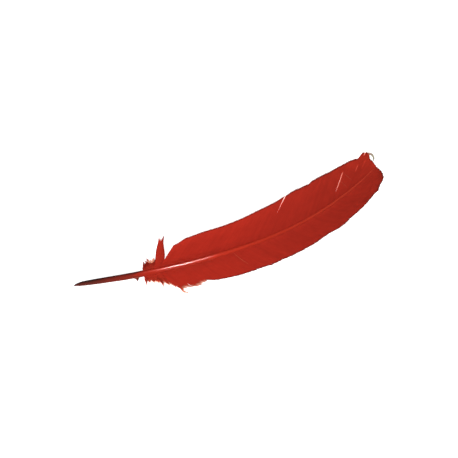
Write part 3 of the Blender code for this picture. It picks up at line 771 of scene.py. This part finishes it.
# Down at the base
# Short soft barbs below the vanes. They have no hooks: their barbules are long and loose, matted by the
# dye into ragged points, and take it less and less towards their ends, which stay peach and cream.
DOWN_BULGE = 0.07  # how far a barb bows towards the feather's tip, as a share of its length
DOWN_GATHERING, DROP_POWER = 1.5, 1.5
DOWN_SCATTER, DOWN_SWAY, DOWN_SHADES = 0.15, (-0.12, 0.25), (0.86, 1.1)  # from barb to barb
DOWN_LEAST = 0.2  # height
DOWN_PALING = 2.2  # the dye fades with this power of the share of a barb's length
DOWN_FRAY, DOWN_RIB, DOWN_KEEL = 2.6, 0.11, 0.12
BARBULES_FROM = 0.3  # share of a barb's length
BARBULE_LENGTH, BARBULE_LENGTHS, BARBULE_SHADES = 1.5, (0.5, 1.2), (0.85, 1.15)  # and by chance
BARBULE_THICK = (0.055, 0.045, 0.012)  # from root to point
BARBULE_BEND, BARBULE_CLEAR = 0.3, 0.08
BARBULE_SPREAD_DEG = (52, 26, 8.0)  # off the barb at its root, how much less at its point, and by chance
BARBULE_RISE_DEG = (8.0, 22.0)  # and by chance
INNER_DOWN_BARBS, INNER_DOWN_BARBULES = 34, 34  # and so many barbules on each side of each
OUTER_DOWN_BARBS, OUTER_DOWN_BARBULES = 66, 42
INNER_DOWN_ROOTS, INNER_DOWN_TIP_HEIGHT = (63.8, 74.0), 3.4
OUTER_DOWN_ROOTS, OUTER_DOWN_TIP_HEIGHT = (63.8, 80.4), 0.2
# Where the dye has hardly taken: the place's middle, and how far it spreads along and aside
INNER_DOWN_BARE = ((72.9, 10.0), (4.5, 2.8))
OUTER_DOWN_BARE = ((70.0, -10.6), (6.5, 1.4))
# The free edges, from bay to point to bay
INNER_DOWN_TIPS = np.array((
    (64.0, 5.2), (65.2, 10.4), (66.2, 7.4), (67.8, 10.0), (68.4, 8.8), (69.2, 12.0), (71.0, 10.0),
    (75.0, 11.1), (76.0, 9.2),
))
OUTER_DOWN_TIPS = np.array((
    (63.2, -5.6), (64.3, -10.6), (65.2, -6.9), (67.4, -8.9), (68.9, -7.8), (71.2, -9.7), (72.8, -9.0),
    (75.2, -10.9), (77.2, -10.6), (78.6, -14.8), (80.2, -12.2), (83.6, -14.6), (85.6, -14.0),
    (88.9, -17.4), (89.2, -15.6),
))


def downy_barbs(side, root_ends, tips, count, tip_height, reach, seed):
    """Spots of barbs that bow from the shaft and gather to the points of the free edge."""
    chance = np.random.default_rng(seed)
    last = len(tips) - 1
    scatter = chance.uniform(-DOWN_SCATTER, DOWN_SCATTER, count)
    order = np.clip(np.linspace(0.0, last, count) + scatter, 0.0, last)
    point = 2 * np.floor(order / 2) + 1
    away = order - point
    gathered = np.clip(point + np.sign(away) * np.abs(away) ** DOWN_GATHERING, 0.0, last)
    start_along = np.interp(order, (0, last), root_ends)
    start = np.stack((start_along, root_aside(start_along, side)), -1)
    end = np.stack([np.interp(gathered, np.arange(last + 1), values) for values in tips.T], -1)
    end = start + (end - start) * chance.uniform(*reach, (count, 1))
    span = end - start
    knee = (start + end) / 2 + 2 * DOWN_BULGE * np.stack((np.abs(span[:, 1]), side * span[:, 0]), -1)
    t = BARB_ROWS[None, :, None]
    places = (1 - t) ** 2 * start[:, None] + 2 * t * (1 - t) * knee[:, None] + t**2 * end[:, None]
    places[..., 1] -= side * rooted(8)
    height = root_height(start_along)[:, None]
    height = height + (tip_height - height) * BARB_ROWS**DROP_POWER
    height += chance.uniform(*DOWN_SWAY, (count, 1)) * np.sin(math.pi * BARB_ROWS)
    return np.concatenate((places, np.maximum(height, DOWN_LEAST)[..., None]), -1)


def barbules(spots, each, start_share, length, seed):
    """A bundle of fine side fibres on both sides of the barbs, curving towards the barbs' points."""
    chance = np.random.default_rng(seed)
    barbs, rows = spots.shape[:2]
    on_barb = np.repeat(np.arange(barbs), 2 * each)
    side = np.tile((1.0, -1.0), barbs * each)
    total = len(side)
    share = start_share + (0.995 - start_share) * chance.uniform(0.0, 1.0, total)
    at = share * (rows - 1)
    low = np.minimum(at.astype(int), rows - 2)
    part = (at - low)[:, None]
    middle = on_feather(spots[..., 0], spots[..., 1], spots[..., 2])
    here, there = middle[on_barb, low], middle[on_barb, low + 1]
    base = here * (1 - part) + there * part
    forward = unit(there - here)
    upward = np.array((0.0, 0.0, 1.0))
    outward = np.cross(forward, upward) * side[:, None]
    at_root, less, by_chance = BARBULE_SPREAD_DEG
    spread = np.radians(at_root - less * share + chance.normal(0.0, by_chance, total))[:, None]
    rise = np.radians(chance.normal(*BARBULE_RISE_DEG, total))[:, None]
    way = forward * np.cos(spread) + np.sin(spread) * (outward * np.cos(rise) + upward * np.sin(rise))
    long = length * (1.1 - 0.5 * share) * chance.uniform(*BARBULE_LENGTHS, total) * MM
    long = long[:, None, None]
    t = np.array((0.0, 0.5, 1.0))[None, :, None]
    spine = base[:, None] + long * (way[:, None] * t + BARBULE_BEND * forward[:, None] * t**2)
    spine[..., 2] = np.maximum(spine[..., 2], BARBULE_CLEAR * MM)
    beside = unit(np.cross(way, upward))
    above = np.cross(beside, way)
    turn = (np.arange(3) * 2 * math.pi / 3)[None, :, None]
    around = beside[:, None] * np.cos(turn) + above[:, None] * np.sin(turn)
    rings = spine[:, :, None] + around[:, None] * np.array(BARBULE_THICK)[None, :, None, None] * MM
    share = share[:, None, None]
    tipward = np.clip(0.7 * share**2 + 0.6 * t * share, 0.0, 1.0)
    fibre = np.stack(np.broadcast_arrays(share * 9, on_barb[:, None, None] * 0.9, t), -1)
    along = spots[on_barb, low, 0][:, None, None]
    shade = chance.uniform(*BARBULE_SHADES, total)[:, None, None]
    return rings, {"along": along, "outward": tipward, "fibre": fibre, "shade": shade}


def dyed_down(name, depth, body, ends):
    """Matt down: depth colours it near the shaft, body further out, and ends its bare tips."""
    finish, tree, shader = new_finish(name, 0.8, 0.02)
    steps = ((0.0, *depth), (0.5, *body), (0.78, *body), (1.0, *ends))
    dye = dye_steps(tree, reading(tree, "outward"), steps)
    clots = mottle(tree, reading(tree, "fibre", "Vector"), 0.6)
    clotted = eased(tree, clots, 0.25, 0.75, 0.85, 1.15)
    toned(tree, dye, product(tree, reading(tree, "shade"), clotted), shader)
    raised(tree, shader, clots, 0.00002)
    return finish


def lay_down(name, node, groups, finish, each, bare, paling, seed):
    """A piece of down: ribbed barbs that lose their web and their dye towards their points, and each
    one's barbules. paling is how far the dye fades."""
    bundles = []
    bare_middle = on_feather(*bare[0], 0.0)[:2]
    for spots in groups:
        shade = np.random.default_rng(seed).uniform(*DOWN_SHADES, (len(spots), 1))
        body = keeled_barbs(spots, shade, fray=DOWN_FRAY, rib=DOWN_RIB, keel=DOWN_KEEL)
        body[1]["outward"] = paling * body[1]["outward"] ** DOWN_PALING
        side_fibres = barbules(spots, each, BARBULES_FROM, BARBULE_LENGTH, seed + 1)
        side_fibres[1]["outward"] = np.sqrt(paling) * side_fibres[1]["outward"]
        for rings, readings in (body, side_fibres):
            away = np.linalg.norm((rings[..., :2] - bare_middle) / MM / bare[1], axis=-1)
            faded = np.minimum(1.5 * bell(away, 1.0), 1.0)
            readings["outward"] = np.maximum(readings["outward"], faded)
            bundles.append((rings, readings))
    piece = skin_rings(name, bundles, finish)
    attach(piece, "root")
    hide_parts(node)


def abreast(line, apart):
    """Lines that run beside a middle one, so far apart from it."""
    way = unit(np.gradient(line[:, :2], axis=0))
    lines = np.repeat(line[None], len(apart), 0)
    lines[..., 0] -= apart * way[:, 1]
    lines[..., 1] += apart * way[:, 0]
    return lines


# The last barbs of the outer down run on together as one long strand that curls away
CURL_BARBS = 9
# The share of its length, and how far its outermost barbs are apart there
CURL_WIDTHS = ((0.0, 0.8), (0.5, 1.6), (0.7, 2.2), (0.8, 1.9), (0.9, 0.9), (1.0, 0.4))
CURL_LINE = (
    (79.0, -2.0), (83.5, -6.6), (88.6, -12.0), (93.2, -17.2), (94.4, -20.4), (95.2, -23.2), (98.9, -25.3),
)
curl_apart = np.linspace(-0.5, 0.5, CURL_BARBS)[:, None] * np.interp(BARB_ROWS, *zip(*CURL_WIDTHS))
curl_drop = np.maximum(root_height(CURL_LINE[0][0]) * (1 - BARB_ROWS**DROP_POWER), DOWN_LEAST)
curl_spots = abreast(np.column_stack((course_through(CURL_LINE, BARB_ROWS), curl_drop)), curl_apart)

inner_down_spots = downy_barbs(
    1, INNER_DOWN_ROOTS, INNER_DOWN_TIPS, INNER_DOWN_BARBS, INNER_DOWN_TIP_HEIGHT, (1.0, 1.13), seed=70
)
outer_down_spots = downy_barbs(
    -1, OUTER_DOWN_ROOTS, OUTER_DOWN_TIPS, OUTER_DOWN_BARBS, OUTER_DOWN_TIP_HEIGHT, (0.98, 1.13), seed=74
)
inner_down_dye = dyed_down(
    "inner_down_dye", depth=(0.225, 0.0150, 0.0078), body=(0.30, 0.020, 0.011), ends=(0.72, 0.30, 0.19)
)
outer_down_dye = dyed_down(
    "outer_down_dye", depth=(0.247, 0.0150, 0.0080), body=(0.35, 0.029, 0.015), ends=(0.88, 0.42, 0.27)
)
lay_down(
    "inner_down_barbs", "inner_down", [inner_down_spots], inner_down_dye, INNER_DOWN_BARBULES,
    INNER_DOWN_BARE, paling=0.85, seed=71,
)
lay_down(
    "outer_down_barbs", "outer_down", [outer_down_spots, curl_spots], outer_down_dye, OUTER_DOWN_BARBULES,
    OUTER_DOWN_BARE, paling=1.4, seed=75,
)

# Fringe of the outer vane
# Near the down the outer vane's barbs have lost their hooks at their ends, which stand out as a soft
# fringe along its edge.
FRINGED_TO = 103.0  # barbs rooted up to here
FRINGE_FROM, FRINGE_BARBULES, FRINGE_LENGTH = 0.86, 22, 1.7  # the barbules that are loose at a barb's end
# Single strands that run along the edge, a little clear of it: along, aside, height
EDGE_STRANDS = (
    (
        (94.8, -16.6, 1.0), (97.4, -18.6, 0.9), (100.5, -19.9, 0.8), (104.2, -20.6, 0.8),
        (108.0, -20.4, 0.8),
    ),
    (
        (104.6, -18.4, 1.2), (107.6, -19.6, 1.0), (109.4, -20.7, 0.9), (111.4, -20.9, 0.9),
        (113.2, -20.6, 0.9),
    ),
    ((93.8, -17.2, 0.8), (95.6, -19.1, 0.7), (97.4, -20.2, 0.6), (99.8, -21.6, 0.5)),
)
STRAND_HAIRS, STRAND_SPREAD, STRAND_THICK = 5, 0.7, 0.11
HAIR_RINGS, HAIR_CORNERS = 22, 5
HAIR_TAPER, HAIR_ARCH = 0.8, 0.3
HAIR_SPREADS = ((0.0, 0.4), (0.3, 1.0), (0.8, 0.8), (1.0, 0.3))  # where along them, and how far apart


def fine_hairs(courses, thick):
    """A bundle of round hairs that taper to a point."""
    spine = on_feather(courses[..., 0], courses[..., 1], courses[..., 2])
    forward = np.gradient(spine, axis=1)
    beside = unit(np.cross(forward, (0.0, 0.0, 1.0)))
    above = unit(np.cross(beside, forward))
    share = np.linspace(0.0, 1.0, spine.shape[1])
    radius = thick * (1 - HAIR_TAPER * share**3)[None, :, None, None] * MM
    turn = (np.arange(HAIR_CORNERS) * 2 * math.pi / HAIR_CORNERS)[None, None, :, None]
    around = beside[:, :, None] * np.cos(turn) + above[:, :, None] * np.sin(turn)
    along, outward, even = courses[..., 0][..., None], share[None, :, None], np.ones((1, 1, 1))
    fibre = (courses * (0.5, 0.5, 1.0))[:, :, None]
    rings = spine[:, :, None] + radius * around
    return rings, {"along": along, "outward": outward, "fibre": fibre, "shade": even}


def gathered_hairs(line, hairs, spread):
    """Courses of hairs that spring from one place, stand apart and meet again at the line's end."""
    rows = np.linspace(0.0, 1.0, HAIR_RINGS)
    apart = np.linspace(-0.5, 0.5, hairs)[:, None] * spread * np.interp(rows, *zip(*HAIR_SPREADS))
    courses = abreast(course_through(line, rows), apart)
    courses[..., 2] += HAIR_ARCH * np.abs(apart)
    return courses


fringed = outer_spots[outer_spots[:, 0, 0] < FRINGED_TO]
frayed = barbules(fringed, FRINGE_BARBULES, FRINGE_FROM, FRINGE_LENGTH, seed=80)
courses = [gathered_hairs(line, STRAND_HAIRS, STRAND_SPREAD) for line in EDGE_STRANDS]
strands = [fine_hairs(strand, STRAND_THICK) for strand in courses]
fringe_dye = dyed_down("fringe_dye", (0.26, 0.018, 0.010), (0.34, 0.040, 0.024), (0.70, 0.34, 0.24))
fringe = skin_rings("outer_vane_fringe", [frayed, *strands], fringe_dye)
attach(fringe, "root")

# Stray barbs
# Single barbs that have come loose: a curled wisp at the vane's tip that has hardly taken the dye, one
# that lies across the outer vane, and two finer ones on the inner vane.
WISP_LINE = (
    (301.7, 15.6, 0.4), (302.7, 14.6, 0.6), (303.4, 12.6, 0.9),
    (302.9, 10.2, 1.1), (301.5, 8.4, 1.2), (299.9, 7.7, 1.2),
)
WISP_HAIRS, WISP_SPREAD, WISP_THICK = 11, 1.7, 0.17
OUTER_STRAYS = (((146.5, -0.8), (149.0, -5.0), (153.0, -10.8), (156.2, -14.3)),)
INNER_STRAYS = (
    ((271.8, 18.8), (272.5, 14.3), (273.2, 8.5)),
    ((264.7, 13.6), (265.2, 10.3), (265.6, 6.8)),
)
OUTER_STRAY_THICK, INNER_STRAY_THICK = 0.1, 0.055
STRAY_PAIR, STRAY_LIFT = 0.12, 0.2  # how far a stray's two hairs lie apart, and over the web

bare_keratin = dyed_down("bare_keratin", (0.27, 0.12, 0.08), (0.31, 0.285, 0.215), (0.36, 0.34, 0.29))
wisp_hairs = fine_hairs(gathered_hairs(WISP_LINE, WISP_HAIRS, WISP_SPREAD), WISP_THICK)
wisp = skin_rings("tip_wisp", [wisp_hairs], bare_keratin)


def lying_strays(lines, side, width, edge_heights, thick):
    """Pairs of hairs that lie on a vane's web along those lines."""
    laid = []
    for line in np.array(lines):
        height = web_height(line[:, 0], line[:, 1], side, width, edge_heights) + STRAY_LIFT
        laid.append(gathered_hairs(np.column_stack((line, height)), 2, STRAY_PAIR))
    return fine_hairs(np.concatenate(laid), thick)


faded = dyed_down("faded_barb_dye", (0.35, 0.036, 0.022), (0.38, 0.070, 0.044), (0.42, 0.090, 0.055))
lying = [
    lying_strays(OUTER_STRAYS, -1, OUTER_WIDTH, OUTER_EDGE_HEIGHTS, OUTER_STRAY_THICK),
    lying_strays(INNER_STRAYS, 1, INNER_WIDTH, INNER_EDGE_HEIGHTS, INNER_STRAY_THICK),
]
strays = skin_rings("stray_barbs", lying, faded)
for hair in (wisp, strays):
    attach(hair, "root")

# Sheath scrap
# A flake of the dry sheath that the feather grew in. It still hangs from the quill, on the outer
# vane's side, and is stained nearly black.
SCRAP_ROOTS = (53.8, 58.9)
SCRAP_TIPS = np.array(((54.4, -3.2), (56.0, -3.7), (57.1, -6.4), (58.2, -4.9), (58.9, -3.3)))
SCRAP_TIP_HEIGHT = 2.2
SCRAP_THICK = 0.12  # half its thickness
SCRAP_CURL = 0.35
SCRAP_TUCK = 0.35  # how much further in than a barb it is rooted
SCRAP_RAGGED, SCRAP_RIPPLE = 0.35, 0.1  # how uneven its edge and its face are

lanes = np.linspace(0.0, 1.0, 13)
rows = np.linspace(0.0, 1.0, 10)[:, None]
root_along = np.interp(lanes, (0, 1), SCRAP_ROOTS)
root_at = np.stack((root_along, root_aside(root_along, -1) + ROOT_OUT + SCRAP_TUCK), -1)
tip_at = course_through(SCRAP_TIPS, lanes)
tip_at[:, 1] += SCRAP_RAGGED * np.abs(unevenness(lanes * 10, 1.1, 90))
places = root_at[None] + (tip_at - root_at)[None] * rows[..., None]
drop = root_height(root_along) + (SCRAP_TIP_HEIGHT - root_height(root_along)) * rows**DROP_POWER
drop = drop + SCRAP_CURL * rows * np.sin(math.pi * lanes)
drop = drop + SCRAP_RIPPLE * unevenness(lanes * 20 + rows * 9, 2.0, 91)
thin = SCRAP_THICK * (1 - 0.7 * np.abs(2 * lanes - 1) ** 3) * (1 - 0.6 * rows)
top = on_feather(places[..., 0], places[..., 1], drop + thin)
foot = on_feather(places[..., 0], places[..., 1], drop - thin)
scrap_rings = np.concatenate((top, foot[:, ::-1]), 1)[None]
scrap_lanes = np.concatenate((places, places[:, ::-1]), 1)[None]


def stained_sheath():
    """Dry, flaky and nearly black, with a little red where it is thin."""
    finish, tree, shader = new_finish("stained_sheath", 0.8, 0.05)
    flakes = mottle(tree, reading(tree, "fibre", "Vector"), 1.4, 4.0)
    stain = dye_steps(tree, flakes, ((0.3, 0.085, 0.009, 0.005), (0.75, 0.17, 0.015, 0.009)))
    tree.links.new(stain, shader.inputs["Base Color"])
    raised(tree, shader, flakes, 0.00005)
    return finish


scrap_fibre = np.concatenate((scrap_lanes, scrap_rings[..., 2:] / MM), -1)
scrap = skin_rings("sheath_flake", [(scrap_rings, {"fibre": scrap_fibre})], stained_sheath())
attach(scrap, "root")
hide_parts("sheath_scrap")

# Surface, lamps and camera
# The feather lies on a pale table and is seen from straight above. A soft lamp stands beyond the
# outer vane, a weaker one faces it, and a small one high on that side glints on the horn.
TABLE_CORNERS = ((-2, -2, 0), (2, -2, 0), (2, 2, 0), (-2, 2, 0))  # in metres, as all the rest here

table_mesh = bpy.data.meshes.new("table")
table_mesh.from_pydata(TABLE_CORNERS, [], [(0, 1, 2, 3)])
table = bpy.data.objects.new("table", table_mesh)
bpy.context.scene.collection.objects.link(table)
pale, _, pale_shader = new_finish("pale_table", 0.9, 0.1)
pale_shader.inputs["Base Color"].default_value = (0.6, 0.6, 0.6, 1.0)
pale_shader.inputs["Emission Color"].default_value = (1.0, 1.0, 1.0, 1.0)
pale_shader.inputs["Emission Strength"].default_value = 0.85
table_mesh.materials.append(pale)
table.visible_glossy = False

world = bpy.data.worlds.new("studio")
world.use_nodes = True
sky = world.node_tree.nodes["Background"]
sky.inputs["Color"].default_value = (1.0, 1.0, 1.0, 1.0)
sky.inputs["Strength"].default_value = 0.1
bpy.context.scene.world = world

PICTURE_TURN = math.radians(21.2033)  # the feather's chord runs up to the right in the picture
PICTURE_MIDDLE = (0.00087, 0.01187)
CAMERA_HEIGHT, CAMERA_LENS, CAMERA_SENSOR = 1.2, 104.8, 36.0


def picture_place(right, up, height):
    """A point given in the picture's own directions from its middle."""
    cos, sin = math.cos(PICTURE_TURN), math.sin(PICTURE_TURN)
    x, y = PICTURE_MIDDLE
    return (x + right * cos + up * sin, y - right * sin + up * cos, height)


def soft_lamp(name, place, aim, size, power, glints):
    """A rectangular lamp turned to face its aim. One that glints is only seen mirrored in the horn, and
    the others light the rest."""
    light = bpy.data.lights.new(name, "AREA")
    light.shape = "RECTANGLE"
    light.size, light.size_y = size
    light.energy = power
    lamp = bpy.data.objects.new(name, light)
    bpy.context.scene.collection.objects.link(lamp)
    lamp.location = picture_place(*place)
    away = np.array(lamp.location) - np.array(picture_place(*aim))
    pitch = math.atan2(math.hypot(away[0], away[1]), away[2])
    lamp.rotation_euler = (pitch, 0.0, math.atan2(away[0], -away[1]))
    lamp.visible_glossy, lamp.visible_diffuse = glints, not glints


soft_lamp("main_lamp", (-0.45, -0.8, 1.3), (0.0, 0.0, 0.0), (0.9, 0.9), 39.0, False)
soft_lamp("facing_lamp", (0.3, 1.0, 1.3), (0.0, 0.0, 0.0), (0.9, 0.9), 15.4, False)
soft_lamp("glint_lamp", (-0.51, 0.74, 2.0), (-0.05, 0.0, 0.0), (0.12, 0.05), 28.0, True)

camera_data = bpy.data.cameras.new("camera")
camera_data.sensor_width = CAMERA_SENSOR
camera_data.lens = CAMERA_LENS
camera = bpy.data.objects.new("camera", camera_data)
bpy.context.scene.collection.objects.link(camera)
camera.location = (*PICTURE_MIDDLE, CAMERA_HEIGHT)
camera.rotation_euler = (0.0, 0.0, -PICTURE_TURN)
bpy.context.scene.camera = camera
bpy.context.scene.view_settings.view_transform = "Standard"
